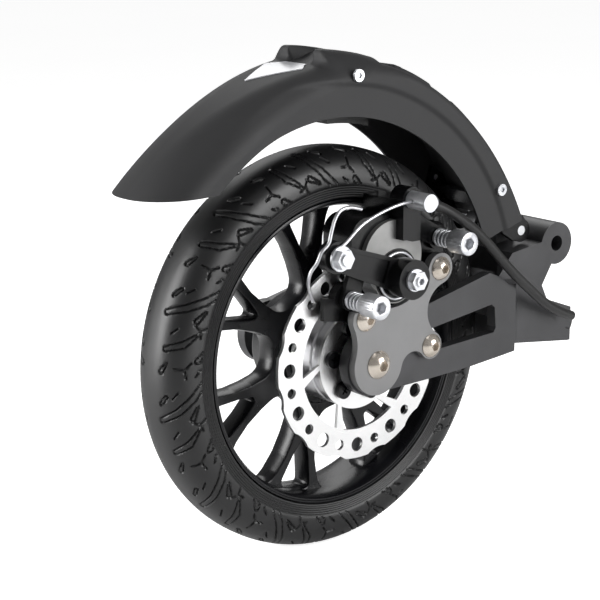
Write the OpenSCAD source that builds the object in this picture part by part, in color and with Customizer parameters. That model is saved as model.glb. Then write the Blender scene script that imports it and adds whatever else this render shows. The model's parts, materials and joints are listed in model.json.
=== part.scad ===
// Kick-scooter rear wheel module: Y-spoked wheel, cable-operated floating disc brake, fork and
// foot-brake fender. Millimetres. Origin: centre of the pivot bore at the front of the fork.
// +X forward, +Y along the wheel axle towards the far side, +Z up. The disc brake is on the -Y side.

/* [Wheel] */
// Tyre outside radius
tyre_r = 100; // [99:0.25:100.5]
// Half of the tyre width
tyre_half = 17.5; // [17:0.25:19]
// Rim outside radius, where the tyre sits
rim_r = 76; // [75.5:0.25:76.5]
// Number of Y spokes
spokes = 7; // [5:1:8]
// Half of the spoke thickness along the axle
spoke_half = 6; // [4:0.5:8]

/* [Brake] */
// Brake rotor outside radius
rotor_r = 49.6; // [48.5:0.1:50]
// Number of vent windows in the rotor
rotor_windows = 6; // [4:1:6]
// Piston radius
piston_r = 7; // [6:0.25:7.5]
// Turns of wire in each guide spring
guide_turns = 4; // [3:1:5]

/* [Fork] */
// Axle bolt radius
axle_r = 4; // [3.8:0.05:4.05]
// Pivot bore radius
pivot_bore_r = 4.05; // [3.5:0.05:5.5]
// Lower lug bore radius
lower_bore_r = 3.05; // [2.5:0.05:4]
// Distance from the wheel axle forward to the pivot bore
pivot_reach = 136; // [136:0.5:140]

/* [Fender] */
// Half of the fender width
fender_half = 27; // [26:0.5:29]
// Fender wall thickness
fender_wall = 3; // [2.5:0.25:3.5]

/* [Hidden] */
$fn = 64;
// Height of the pivot bore above the wheel axle
pivot_rise = 39;
// Running clearance between a shaft and its hole, on radius
run = 0.05;

// Planes along the axle on the brake side, from the outside in
plate_face = -47;
arm_outer = 43;
arm_inner = 37;
rotor_back = -30.7;
rotor_face = rotor_back - 1.9;
carrier_root = -9;

// Bearing 608: bore, outside and width
bearing_r = 11;
bearing_w = 7;
bearing_pitch_r = 7.5;
bearing_ball_r = 1.984;
bearing_balls_count = 7;
near_bearing_y = -28;
far_bearing_y = 13;

// Brake centres in the wheel frame, (x, z)
piston_at = [12.5, 41.5];
barrel_at = [10.5, 50.5];
guide_a_at = [-13.6, 32.8];
guide_b_at = [41.8, 56];
lobe_a_at = [-8.1, 23.4];
lobe_b_at = [39.3, 41.6];
lobe_c_at = [33.8, 4];
anchor_at = [17.5, 78.3];
clamp_at = [-30.5, 57];
guide_r = 3;
plate_bolt_r = 3;

// Planes along the axle in the brake
caliper_front = -44.8;
caliper_step = -42;
slot_front = -33.6;
slot_back = -27.2;
caliper_back = -21;
slot_r = 53;
lug_face = -42.4;
lug_back = -39.7;
barrel_r = 18;
cap_r = 13;
pad_r = 9;
lever_back = -47;
lever_front = -50;

// Fender centres in the wheel frame, (x, z)
hinge_at = [117, 47];
fender_rear_at = [14.1, -31];
fender_rear_r = 175.6;
fender_front_at = [-24.8, -6.1];
fender_front_r = 153.4;
tail_dome_at = [101, -149];
tail_dome_r = 321;
fender_shoulder = 7;
tail_shoulder = 22;
shoe_gap = 11;

// The node to build, or "all"

// ---------------------------------------------------------------- helpers

// Moves the children from the wheel centre to the module frame.
module on_wheel() {
    translate([-pivot_reach, 0, -pivot_rise]) children();
}

// Extrudes an (x, z) outline from y0 to y1.
module along_y(y0, y1) {
    translate([0, y1, 0]) rotate([90, 0, 0]) linear_extrude(y1 - y0) children();
}

// Turns an (r, y) profile around the Y axis.
module around_y(turn = 360) {
    rotate([-90, 0, 0]) rotate_extrude(angle = turn) children();
}

// A cylinder along Y centred on (x, z).
module rod(at, r, y0, y1) {
    along_y(y0, y1) translate(at) circle(r);
}

// A tube along Y centred on (x, z).
module tube(at, r_out, r_in, y0, y1) {
    along_y(y0, y1) difference() {
        translate(at) circle(r_out);
        translate(at) circle(r_in);
    }
}

// A hexagon by its half width across flats.
module hexagon(half_flat) {
    circle(half_flat / cos(30), $fn = 6);
}

// Repeats the children evenly around the wheel axis of an (x, z) outline.
module ring_of(count, first = 0) {
    for (i = [0 : count - 1]) rotate(first + i * 360 / count) children();
}

// A round wire through a list of points, with a slightly fuller ball at every bend.
module wire_path(points, r) {
    ball_r = 1.08 * r;
    for (i = [0 : len(points) - 2]) {
        leg = points[i + 1] - points[i];
        flat = norm([leg.x, leg.y]);
        translate(points[i]) rotate([0, atan2(flat, leg.z), atan2(leg.y, leg.x)])
            cylinder(h = norm(leg), r = r);
    }
    for (i = [1 : len(points) - 2]) translate(points[i]) sphere(ball_r);
}

// A coil spring along Y, its wire square in section.
module coil(at, mean_r, wire_r, y0, y1, turns) {
    pitch = (y1 - y0) / turns;
    gap = 360 * (1 - 2 * wire_r / pitch);
    far = 3 * mean_r;
    sides = 16;
    translate([at[0], y1, at[1]]) rotate([90, 0, 0])
        linear_extrude(y1 - y0, twist = -360 * turns, slices = 10 * turns, $fn = sides)
            difference() {
                circle(mean_r + wire_r, $fn = sides);
                circle(mean_r - wire_r, $fn = sides);
                polygon([[0, 0], for (a = [0 : gap / 4 : gap]) far * [cos(a), sin(a)]]);
            }
}

// ---------------------------------------------------------------- wheel

// Crown of the tyre section as (r, y) points: a superellipse from shoulder to shoulder.
shoulder_r = rim_r + 6.8;
crown_steps = 16;
crown = [for (i = [0 : crown_steps])
    let (a = -90 + 180 * i / crown_steps, s = sin(a), c = cos(a))
    [shoulder_r + (tyre_r - shoulder_r) * pow(c, 0.8), tyre_half * sign(s) * pow(abs(s), 0.8)]];

module tyre() {
    color([0.06, 0.06, 0.06]) on_wheel() around_y()
        polygon(concat([[rim_r, -tyre_half + 0.6]], crown, [[rim_r, tyre_half - 0.6]]));
}

// One Y spoke along +X: trunk, two legs and a pointed opening between them.
module spoke_outline() {
    difference() {
        polygon([[20, -6.3], [35, -6.3], [45, -8], [55, -10.3], [67, -15.4], [72.5, -20],
            [72.5, 20], [67, 15.4], [55, 10.3], [45, 8], [35, 6.3], [20, 6.3]]);
        polygon([[49, -1.5], [55, -4.1], [67, -7.7], [69, -9.5], [70.2, -9.5],
            [70.2, 9.5], [69, 9.5], [67, 7.7], [55, 4.1], [49, 1.5]]);
        translate([49.2, 0]) circle(1.6);
    }
}

module wheel_core() {
    lip_y = 16.1;
    hub_r = 27;
    hub_bore_r = 9;
    color([0.10, 0.10, 0.11]) on_wheel() difference() {
        union() {
            around_y() polygon([[rim_r, -lip_y], [rim_r, lip_y], [rim_r - 3, lip_y],
                [rim_r - 4.5, 11], [rim_r - 4.5, -11], [rim_r - 3, -lip_y]]);
            along_y(-spoke_half, spoke_half) ring_of(spokes, 100.5) spoke_outline();
            rod([0, 0], hub_r, carrier_root, far_bearing_y + bearing_w);
        }
        rod([0, 0], hub_bore_r, carrier_root - 1, far_bearing_y + 1);
        rod([0, 0], bearing_r, far_bearing_y, far_bearing_y + bearing_w + 1);
        along_y(carrier_root - 1, carrier_root + 8) screw_circle() circle(2);
    }
}

// The six rotor screw positions.
module screw_circle() {
    screw_pcr = 17.5;
    ring_of(6, 111.5) translate([screw_pcr, 0]) children();
}

module rotor_carrier() {
    color([0.72, 0.73, 0.75]) on_wheel() difference() {
        rod([0, 0], 24, rotor_back, carrier_root);
        rod([0, 0], 9, rotor_back - 1, carrier_root + 1);
        rod([0, 0], bearing_r, rotor_back - 1, near_bearing_y + bearing_w);
        along_y(rotor_back - 1, carrier_root + 1) screw_circle() circle(2.2);
    }
}

// Rotor outline: scalloped rim, bore, screw holes, cooling holes and swept windows.
module rotor_outline() {
    hole_pcr = 42.8;
    difference() {
        circle(rotor_r);
        ring_of(12, 133.8) translate([rotor_r + 12.5, 0]) circle(14);
        circle(12.5);
        screw_circle() circle(2.1);
        ring_of(12, 148.8) translate([hole_pcr, 0]) circle(3.5);
        ring_of(12, 133.8) translate([hole_pcr, 0]) circle(2.5);
        ring_of(rotor_windows, 200) window_outline();
    }
}

// One swept rotor window: part of a ring between two slanted edges.
module window_outline() {
    intersection() {
        difference() {
            circle(35);
            circle(24.5);
        }
        polygon([[20, -8], [36, -3], [40, 20], [26, 30], [18, 12]]);
    }
}

module brake_rotor() {
    color([0.80, 0.80, 0.80]) on_wheel() along_y(rotor_face, rotor_back) rotor_outline();
}

module rotor_screws() {
    head_h = 2.4;
    color([0.05, 0.05, 0.05]) on_wheel() difference() {
        union() {
            along_y(rotor_face - head_h, rotor_face) screw_circle() circle(4);
            along_y(rotor_face - 0.5, carrier_root + 7) screw_circle() circle(2);
        }
        along_y(rotor_face - head_h - 1, rotor_face - 0.9) screw_circle() {
            square([4, 0.9], center = true);
            square([0.9, 4], center = true);
        }
    }
}

// Places the children at both bearings, their near faces at y = 0.
module at_bearings() {
    for (y = [near_bearing_y, far_bearing_y]) translate([0, y, 0]) children();
}

// The circular race that both rings of a bearing share.
module race() {
    around_y() translate([bearing_pitch_r, bearing_w / 2]) circle(bearing_ball_r + 0.06);
}

module bearing_outer_rings() {
    color([0.7, 0.7, 0.72]) on_wheel() at_bearings() difference() {
        tube([0, 0], bearing_r, 9, 0, bearing_w);
        race();
    }
}

module bearing_inner_rings() {
    color([0.7, 0.7, 0.72]) on_wheel() at_bearings() difference() {
        tube([0, 0], 6, axle_r + run, 0, bearing_w);
        race();
    }
}

module bearing_balls() {
    color([0.8, 0.8, 0.82]) on_wheel() at_bearings()
        for (i = [0 : bearing_balls_count - 1]) rotate([0, i * 360 / bearing_balls_count, 0])
            translate([bearing_pitch_r, bearing_w / 2, 0]) sphere(bearing_ball_r);
}

module bearing_seals() {
    seal_w = 0.6;
    color([0.05, 0.05, 0.05]) on_wheel() at_bearings() for (y = [0.2, bearing_w - 0.2 - seal_w])
        tube([0, 0], 9, 6.15, y, y + seal_w);
}

// ---------------------------------------------------------------- axle

module near_spacer() {
    color([0.5, 0.5, 0.52]) on_wheel() tube([0, 0], 6, axle_r + run, -arm_inner, near_bearing_y);
}

module far_spacer() {
    color([0.5, 0.5, 0.52]) on_wheel()
        tube([0, 0], 6, axle_r + run, far_bearing_y + bearing_w, arm_inner);
}

module bearing_spacer() {
    color([0.5, 0.5, 0.52]) on_wheel()
        tube([0, 0], 5.5, axle_r + run, near_bearing_y + bearing_w, far_bearing_y);
}

module axle_washer() {
    color([0.7, 0.7, 0.72]) on_wheel() tube([0, 0], 8, axle_r + run, arm_outer, arm_outer + 1.6);
}

module axle_nut() {
    nut_h = 8;
    color([0.7, 0.7, 0.72]) on_wheel() along_y(arm_outer + 1.6, arm_outer + 1.6 + nut_h)
        difference() {
            hexagon(6.5);
            circle(axle_r);
        }
}

// A button head with a hex socket, its seat at y and the head towards -Y.
module button_head(at, r, h, socket, y) {
    difference() {
        translate([at[0], y, at[1]]) around_y() intersection() {
            translate([0, -h]) square([r, h]);
            translate([0, (r * r - h * h) / (2 * h)]) circle((r * r + h * h) / (2 * h) + 0.25);
        }
        along_y(y - h - 1, y - 0.35 * h) translate(at) hexagon(socket);
    }
}

module axle_bolt() {
    color([0.75, 0.72, 0.68]) on_wheel() {
        button_head([0, 0], 6.9, 3.8, 2.5, plate_face);
        rod([0, 0], axle_r, plate_face - 1.2, arm_outer + 11);
    }
}

// ---------------------------------------------------------------- fork

// Side outline of one fork arm, (x, z) from the wheel centre.
module arm_outline() {
    lobe_r = 16.2;
    difference() {
        union() {
            circle(lobe_r);
            polygon([[-3.6, 14.6], [76.4, 33.4], [83.4, 30.7], [89.8, 25.8], [108, 24],
                [108, -9.5], [95.1, -9.5], [84.6, -10.6], [63.9, -12.6], [37.1, -14],
                [8, -15], [0, 0]]);
        }
        arm_window();
    }
}

// The opening in a fork arm; it leaves a round boss for the plate bolt.
module arm_window() {
    difference() {
        polygon([[33, 10.6], [78.2, 17.1], [80.4, 15.3], [81.3, 4.9], [80, 2.5], [33, -0.6]]);
        translate(lobe_c_at) circle(7.5);
    }
}

// Side outline of the crown, the pivot tube and the lower lug.
module crown_outline() {
    polygon([[92, -9.5], [104, -9.5], [146, -14.5], [155.5, -8], [152, 2], [130, 10], [126, 18],
        [133, 29], [126, 41], [122, 40.5], [104, 38], [92, 24]]);
    translate([pivot_reach, pivot_rise]) circle(11);
    translate([147, -5.5]) circle(9);
}

// Plan of the fork seen from above, (x, y): arms that close in to the crown.
module fork_plan() {
    difference() {
        union() {
            polygon([[-20, -arm_outer], [95, -arm_outer], [106, -32], [112, -31], [148, -31],
                [148, 31], [112, 31], [106, 32], [95, arm_outer], [-20, arm_outer]]);
            translate([140, -25]) square([20, 50]);
        }
        polygon([[-21, -arm_inner], [84, -arm_inner], [96, -28], [103.5, -22],
            [103.5, 22], [96, 28], [84, arm_inner], [-21, arm_inner]]);
    }
}

module fork() {
    ear_half = 12;
    spring_half = 4.5;
    color([0.20, 0.20, 0.22]) on_wheel() difference() {
        union() {
            intersection() {
                translate([0, 0, -20]) linear_extrude(75) fork_plan();
                union() {
                    along_y(-arm_outer, arm_outer) arm_outline();
                    along_y(-31, 31) intersection() {
                        crown_outline();
                        translate([90, -20]) square([70, 75]);
                    }
                }
            }
            along_y(-ear_half, ear_half) {
                translate(hinge_at) circle(6);
                translate([111, 36]) square([12, 11]);
            }
        }
        along_y(-40, 40) {
            translate([pivot_reach, pivot_rise]) circle(pivot_bore_r);
            translate([147, -5.5]) circle(lower_bore_r);
            translate(hinge_at) circle(2.5);
        }
        along_y(-50, 50) circle(axle_r + run);
        along_y(-50, -30) translate(lobe_c_at) circle(plate_bolt_r);
        rod(hinge_at, 6.4, -spring_half, spring_half);
        translate([100, -19, 2]) cube([18, 38, 24]);
    }
}

module hinge_pin() {
    color([0.75, 0.75, 0.75]) on_wheel() rod(hinge_at, 2.5, -24, 24);
}

module fender_spring() {
    color([0.75, 0.75, 0.75]) on_wheel() coil(hinge_at, 3.7, 0.5, -4, 4, 5);
}

// ---------------------------------------------------------------- brake mounting

// Centre of the circle of radius r that nearly touches two lobes, on the left of the way p to q.
function saddle(p, p_r, q, q_r, r) =
    let (d = norm(q - p), u = (q - p) / d, near = p_r + r, far = q_r + r,
        along = (near * near - far * far + d * d) / (2 * d))
    p + along * u + sqrt(near * near - along * along) * [-u[1], u[0]];

// The flat plate between the fork arm and the caliper bracket: four lobes with hollows between.
module adapter_plate() {
    // Each lobe as [centre, radius, radius of the hollow towards the next one]
    lobes = [[lobe_a_at, 8, 24.2], [lobe_b_at, 7.6, 13.5], [lobe_c_at, 6.7, 7.8], [[0, 0], 15, 20]];
    last = len(lobes) - 1;
    hollows = [for (i = [0 : last]) let (p = lobes[i], q = lobes[i == last ? 0 : i + 1])
        saddle(p[0], p[1], q[0], q[1], p[2])];
    color([0.45, 0.45, 0.46]) on_wheel() difference() {
        union() {
            along_y(plate_face, -arm_outer)
                polygon([for (i = [0 : last]) each [lobes[i][0], hollows[i]]]);
            for (lobe = lobes) rod(lobe[0], lobe[1], plate_face, -arm_outer);
        }
        for (i = [0 : last]) rod(hollows[i], lobes[i][2] - 0.05, plate_face - 1, 1 - arm_outer);
        rod(guide_a_at, 5.4, plate_face - 1, 1 - arm_outer);
        rod([0, 0], axle_r + run, plate_face - 1, 1 - arm_outer);
        for (at = [lobe_a_at, lobe_b_at, lobe_c_at])
            rod(at, plate_bolt_r + run, plate_face - 1, 1 - arm_outer);
    }
}

module plate_bolts() {
    color([0.78, 0.74, 0.68]) on_wheel() for (at = [lobe_a_at, lobe_b_at, lobe_c_at]) {
        button_head(at, 5.8, 3.3, 2, plate_face);
        rod(at, plate_bolt_r, plate_face - 1, -37.2);
    }
}

// Outline of the bracket behind the plate, clear of the floating caliper and of the fork arm.
module bracket_outline() {
    difference() {
        polygon([[-28, 24], [-28, 35], guide_a_at, [-12, 40], [30, 47], [36, 60], guide_b_at,
            [48, 52], [46.5, 38], [39, 27.5], [2, 18.5], [-8, 16.9], [-15, 22]]);
        translate([7, 49]) circle(24.2);
    }
    for (at = [guide_a_at, guide_b_at]) translate(at) circle(6.5);
}

module caliper_bracket() {
    bracket_face = -39.5;
    color([0.04, 0.04, 0.04]) on_wheel() difference() {
        union() {
            along_y(bracket_face, -arm_inner) bracket_outline();
            rod(lobe_a_at, 5, -arm_outer, bracket_face + 1);
            rod(lobe_b_at, 7, -arm_outer, bracket_face + 1);
            for (at = [guide_a_at, guide_b_at]) rod(at, 7.5, bracket_face, -34.4);
        }
        for (at = [guide_a_at, guide_b_at]) rod(at, guide_r, -50, -30);
        for (at = [lobe_a_at, lobe_b_at]) rod(at, plate_bolt_r, -50, -30);
    }
}

module guide_bolts() {
    head_y = -53.5;
    head_h = 10.8;
    color([0.82, 0.82, 0.84]) on_wheel() for (at = [guide_a_at, guide_b_at]) difference() {
        union() {
            rod(at, guide_r, head_y - 0.5, -35.8);
            rod(at, 5.8, head_y - head_h, head_y);
        }
        along_y(head_y - head_h - 1, head_y - head_h + 4) translate(at) hexagon(2.5);
    }
}

module guide_springs() {
    color([0.82, 0.82, 0.84]) on_wheel() for (at = [guide_a_at, guide_b_at])
        coil(at, 3.9, 0.7, -53.4, -42.5, guide_turns);
}

// ---------------------------------------------------------------- caliper

// The dark body of the caliper beside the barrel, (x, z) from the wheel centre.
module block_outline() {
    translate([-4, 62]) circle(9);
    polygon([[-13, 62], [-13, 52], [-6, 42], [10, 42], [10, 71], [-4, 71]]);
}

// Arm from a guide lug towards a point on the caliper.
module lug_arm(at, lug_r, towards) {
    reach = towards - at;
    along_y(lug_face, lug_back) {
        translate(at) circle(lug_r);
        translate(at) rotate(atan2(reach[1], reach[0])) translate([0, -5])
            square([norm(reach), 10]);
    }
}

// The room that the rotor, the pads and the piston need in the caliper.
module caliper_rooms() {
    rod([0, 0], slot_r, slot_front, slot_back);
    rod(piston_at, cap_r + 0.1, caliper_front - 0.2, caliper_step);
    rod(piston_at, piston_r + run, caliper_step - 1, slot_front + 1);
    rod(piston_at, pad_r + 0.15, -37, slot_front + 1);
}

// Cast barrel on the outboard side: the housing of the lever actuator.
module caliper_barrel() {
    color([0.35, 0.35, 0.36]) on_wheel() difference() {
        union() {
            rod(barrel_at, barrel_r, caliper_front, slot_front);
            rod(piston_at, cap_r + 0.6, caliper_front, slot_front);
        }
        caliper_rooms();
    }
}

// Dark body: bridge over the rotor, inboard half, both guide lugs and the cable holder.
module caliper_body() {
    holder_w = 11;
    color([0.05, 0.05, 0.05]) on_wheel() difference() {
        union() {
            along_y(caliper_step, caliper_back) block_outline();
            rod(barrel_at, barrel_r, slot_front, caliper_back);
            rod(piston_at, cap_r, slot_front, caliper_back);
            lug_arm(guide_a_at, 5.2, [-7, 52]);
            lug_arm(guide_b_at, 6, [17, 69]);
            along_y(lever_front, caliper_back) translate([12, 58]) square([holder_w, 20]);
            rod(anchor_at, 6, lever_front, caliper_front + 4);
        }
        rod(barrel_at, barrel_r, caliper_front, slot_front);
        rod(piston_at, cap_r + 0.6, caliper_front, slot_front);
        caliper_rooms();
        rod(guide_a_at, guide_r + run, -46, -38);
        rod(guide_b_at, guide_r + run, -46, -38);
        rod(anchor_at, 2.5, -52, -38);
        rod([12, 45], 14.2, lever_front - 1, caliper_front);
    }
}

module actuator_cap() {
    color([0.05, 0.05, 0.05]) on_wheel()
        tube(piston_at, cap_r, 5 + run, caliper_front, caliper_step);
}

module inner_pad() {
    color([0.30, 0.27, 0.25]) on_wheel() rod(piston_at, pad_r, rotor_back + 0.5, slot_back);
}

module outer_pad() {
    color([0.30, 0.27, 0.25]) on_wheel() rod(piston_at, pad_r, -36.9, rotor_face - 0.5);
}

module piston() {
    color([0.7, 0.7, 0.7]) on_wheel() rod(piston_at, piston_r, -40.1, -36.9);
}

module return_spring() {
    color([0.8, 0.8, 0.8]) on_wheel() translate([piston_at[0], -45.75, piston_at[1]])
        around_y() translate([11.2, 0]) circle(0.7);
}

module cable_anchor() {
    wire_y = -54;
    color([0.6, 0.65, 0.72]) on_wheel() difference() {
        union() {
            rod(anchor_at, 4.3, -63, lever_front);
            rod(anchor_at, 2.5, lever_front - 1, -42);
        }
        translate([anchor_at[0] - 8, wire_y, anchor_at[1]]) rotate([0, 90, 0])
            cylinder(h = 16, r = 1.1);
    }
}

// The cable rises past the fork and runs back to the anchor, points from the wheel centre.
housing_path = [[141.2, -38, 0.9], [116.8, -42, 12.3], [92, -47.3, 29.4], [69, -51.2, 48.6],
    [47, -53.4, 65.6], [28.2, -54, 75.3]];
ferrule_start = [22.9, -54, 77.8];
ferrule_end = [27.5, -54, 75.7];

module cable_ferrule() {
    color([0.9, 0.9, 0.9]) on_wheel() difference() {
        wire_path([ferrule_start, ferrule_end], 3.2);
        wire_path([2 * ferrule_start - ferrule_end, 2 * ferrule_end - ferrule_start], 1.1);
    }
}

module cable_housing() {
    color([0.05, 0.05, 0.05]) on_wheel() wire_path(housing_path, 2.5);
}

// The bare wire arcs from the clamp on the lever up to the anchor.
module brake_wire() {
    color([0.8, 0.8, 0.8]) on_wheel() wire_path([[-33.5, -53.5, 60], [-26.4, -53.5, 63.6],
        [-16.8, -53.5, 70.7], [-4.7, -53.7, 75.4], [8, -54, 78.1], [17.5, -54, 78.3]], 0.8);
}

// ---------------------------------------------------------------- lever

lever_reach = norm(clamp_at - piston_at);
lever_angle = atan2(clamp_at[1] - piston_at[1], clamp_at[0] - piston_at[0]);

// Lever arm seen from the side, the pivot at the origin and the clamp end along +X.
module lever_outline(inset) {
    translate([lever_reach, 0]) circle(7.4 - inset);
    polygon([[0, -8 + inset], [lever_reach, -6 + inset], [lever_reach, 6 - inset],
        [0, 8 - inset]]);
}

module brake_lever() {
    color([0.05, 0.05, 0.06]) on_wheel() difference() {
        union() {
            along_y(lever_front, lever_back) translate(piston_at) rotate(lever_angle)
                lever_outline(0);
            rod(piston_at, 9.6, -58, -45);
            rod(clamp_at, 7.6, -52.6, lever_back);
            rod(piston_at, 5, -45.5, -42.5);
        }
        along_y(lever_front - 1, lever_front + 1.2) translate(piston_at) rotate(lever_angle)
            intersection() {
                lever_outline(2);
                translate([11, -10]) square([lever_reach - 20, 20]);
            }
        rod(clamp_at, 3 + run, -54, lever_back + 1);
        rod(piston_at, 2.6, -59, -50);
    }
}

module lever_nut() {
    color([0.82, 0.82, 0.84]) on_wheel() difference() {
        union() {
            rod(piston_at, 5.4, -59, -58);
            along_y(-62, -59) translate(piston_at) hexagon(4.2);
            rod(piston_at, 2.6, -63, -50);
        }
        along_y(-64, -61) translate(piston_at) hexagon(1.5);
    }
}

module wire_clamp() {
    color([0.82, 0.82, 0.84]) on_wheel() {
        rod(clamp_at, 3, -60.2, -46);
        rod(clamp_at, 6, -55.5, -54.4);
        along_y(-59, -55.5) translate(clamp_at) hexagon(4.3);
        rod(clamp_at, 4.6, -46.9, -45.6);
    }
}

// The free end of the wire is bent into a loop over the lever end and a tail below it.
module wire_tail() {
    color([0.85, 0.85, 0.85]) on_wheel() wire_path([[-17.2, -53.5, 78.3], [-28.6, -53.5, 80],
        [-33.2, -53.5, 74.5], [-37.2, -53.5, 64], [-44.4, -51, 51.6], [-43.2, -47, 44.4],
        [-37, -42.6, 35.6]], 1);
}

module ramp_balls() {
    color([0.8, 0.8, 0.82]) on_wheel() for (a = [90 : 120 : 330])
        translate([piston_at[0] + 3.2 * cos(a), -41.3, piston_at[1] + 3.2 * sin(a)]) sphere(1.19);
}

// ---------------------------------------------------------------- fender

// A disc along Y, its shoulders rounded off in a few flats.
module shoulder_disc(at, r, half, shoulder) {
    arc = [for (a = [0 : 22.5 : 90]) shoulder * [cos(a) - 1, sin(a) - 1]];
    far_side = [for (p = arc) [r + p[0], half + p[1]]];
    near_side = [for (i = [len(arc) - 1 : -1 : 0]) [r + arc[i][0], -half - arc[i][1]]];
    translate([at[0], 0, at[1]]) around_y()
        polygon(concat([[0, -half]], near_side, far_side, [[0, half]]));
}

// The fender solid, shrunk all round by an inset: rear arc, front arc and domed tail.
module fender_solid(inset) {
    half = fender_half - inset;
    intersection() {
        shoulder_disc(fender_rear_at, fender_rear_r - inset, half, fender_shoulder - inset);
        shoulder_disc(fender_front_at, fender_front_r - inset, half, fender_shoulder - inset);
        shoulder_disc(tail_dome_at, tail_dome_r - inset, half, tail_shoulder - inset);
    }
}

module fender() {
    color([0.13, 0.13, 0.13]) on_wheel() intersection() {
        difference() {
            fender_solid(0);
            fender_solid(fender_wall);
            rod([-7.8, 14.9], 101.8, -40, 40);
            rod(top_screw_at, 1.6, -40, 40);
            rod(front_screw_at, 1.6, -40, 40);
        }
        along_y(-40, 40) polygon([[-140, 86], [-70, 88], [-60, 60], [60, 40], [91, 45],
            [100.5, 45.3], [117, 55], [140, 67], [140, 170], [-140, 170]]);
    }
}

top_screw_at = [2.9, 135.9];
front_screw_at = [98.4, 70.9];
fender_in = fender_half - fender_wall;

// The room inside the fender, with a little air.
module fender_room() {
    fender_solid(fender_wall + 0.1);
}

module brake_shoe() {
    color([0.05, 0.05, 0.05]) on_wheel() difference() {
        intersection() {
            union() {
                along_y(-8, 8) translate([0, 95]) square([26, 46]);
                along_y(-fender_in, fender_in) translate([-3, 127]) square([12, 13]);
            }
            fender_room();
        }
        rod([0, 0], tyre_r + shoe_gap, -30, 30);
        rod(top_screw_at, 1.5, -30, 30);
    }
}

// Two cheeks inside the front end of the fender, a cross strap and the hinge knuckles.
module hinge_bracket() {
    cheek_in = 21;
    cheek_out = fender_in - 0.1;
    color([0.6, 0.6, 0.6]) on_wheel() difference() {
        union() {
            intersection() {
                union() {
                    for (side = [-1, 1]) along_y(side > 0 ? cheek_in : -cheek_out,
                        side > 0 ? cheek_out : -cheek_in)
                        polygon([[93, 66], [96, 77], [106, 70], [120, 52], [112, 42],
                            [104, 47]]);
                    along_y(-cheek_out, cheek_out) polygon([[99, 66], [101, 67.2], [106, 60],
                        [104, 58.8]]);
                }
                union() {
                    fender_room();
                    along_y(-30, 30) polygon([[90, 44.5], [100.3, 44.8], [120, 56.2],
                        [125, 40], [90, 30]]);
                }
            }
            for (side = [-1, 1])
                rod(hinge_at, 6, side > 0 ? cheek_in : -cheek_out, side > 0 ? cheek_out : -cheek_in);
        }
        rod(hinge_at, 2.5 + run, -30, 30);
        rod(front_screw_at, 1.5, -30, 30);
    }
}

module fender_screws() {
    head_h = 1.4;
    color([0.85, 0.85, 0.85]) on_wheel() for (at = [top_screw_at, front_screw_at], side = [-1, 1])
        difference() {
            union() {
                along_y(side > 0 ? fender_half : -fender_half - head_h,
                    side > 0 ? fender_half + head_h : -fender_half) translate(at) circle(3);
                along_y(side > 0 ? 21.5 : -fender_half - 0.2,
                    side > 0 ? fender_half + 0.2 : -21.5) translate(at) circle(1.5);
            }
            along_y(side > 0 ? fender_half + 0.6 : -fender_half - head_h - 1,
                side > 0 ? fender_half + head_h + 1 : -fender_half - 0.6)
                translate(at) hexagon(1.25);
        }
}

// ---------------------------------------------------------------- output

fork();
adapter_plate();
plate_bolts();
caliper_bracket();
guide_bolts();
guide_springs();
axle_bolt();
axle_washer();
axle_nut();
near_spacer();
far_spacer();
bearing_spacer();
bearing_inner_rings();
hinge_pin();
fender_spring();
tyre();
wheel_core();
rotor_carrier();
brake_rotor();
rotor_screws();
bearing_outer_rings();
bearing_balls();
bearing_seals();
caliper_body();
caliper_barrel();
actuator_cap();
inner_pad();
return_spring();
cable_anchor();
cable_ferrule();
cable_housing();
brake_wire();
brake_lever();
lever_nut();
wire_clamp();
wire_tail();
ramp_balls();
piston();
outer_pad();
fender();
brake_shoe();
hinge_bracket();
fender_screws();
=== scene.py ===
"""Kick-scooter rear wheel module: looks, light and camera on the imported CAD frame."""

import json
import math
from types import SimpleNamespace

import bmesh
import bpy
import numpy as np
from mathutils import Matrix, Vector, geometry


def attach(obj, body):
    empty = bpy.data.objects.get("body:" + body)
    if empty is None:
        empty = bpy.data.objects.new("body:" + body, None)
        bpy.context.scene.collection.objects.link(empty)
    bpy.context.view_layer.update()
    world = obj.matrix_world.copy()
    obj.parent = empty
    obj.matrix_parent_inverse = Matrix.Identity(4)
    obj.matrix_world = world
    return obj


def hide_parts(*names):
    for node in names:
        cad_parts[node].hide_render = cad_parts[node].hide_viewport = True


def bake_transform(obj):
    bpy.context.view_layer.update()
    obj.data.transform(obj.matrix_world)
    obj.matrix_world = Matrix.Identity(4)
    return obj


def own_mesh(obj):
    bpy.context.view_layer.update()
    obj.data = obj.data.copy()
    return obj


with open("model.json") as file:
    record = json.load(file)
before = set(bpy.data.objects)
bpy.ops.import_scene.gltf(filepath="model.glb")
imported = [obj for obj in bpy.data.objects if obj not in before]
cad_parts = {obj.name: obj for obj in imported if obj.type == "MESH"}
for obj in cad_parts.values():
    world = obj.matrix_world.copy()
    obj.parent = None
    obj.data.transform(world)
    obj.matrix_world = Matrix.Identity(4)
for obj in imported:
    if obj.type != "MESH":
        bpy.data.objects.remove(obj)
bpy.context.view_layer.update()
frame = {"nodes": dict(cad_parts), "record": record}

MM = 0.001
PIVOT_REACH = 136.0  # mm from the wheel axle forward to the pivot bore
PIVOT_RISE = 39.0  # mm from the wheel axle up to the pivot bore
TAU = 2 * math.pi


# ---------------------------------------------------------------- small helpers

def at(x, y, z):
    """A point given in mm from the wheel centre, in the row frame in metres."""
    return Vector(((x - PIVOT_REACH) * MM, y * MM, (z - PIVOT_RISE) * MM))


def smooth(edge0, edge1, value):
    """0 below edge0, 1 above edge1, smooth between. Works on numbers and arrays."""
    t = np.clip((value - edge0) / (edge1 - edge0), 0, 1)
    return t * t * (3 - 2 * t)


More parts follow.
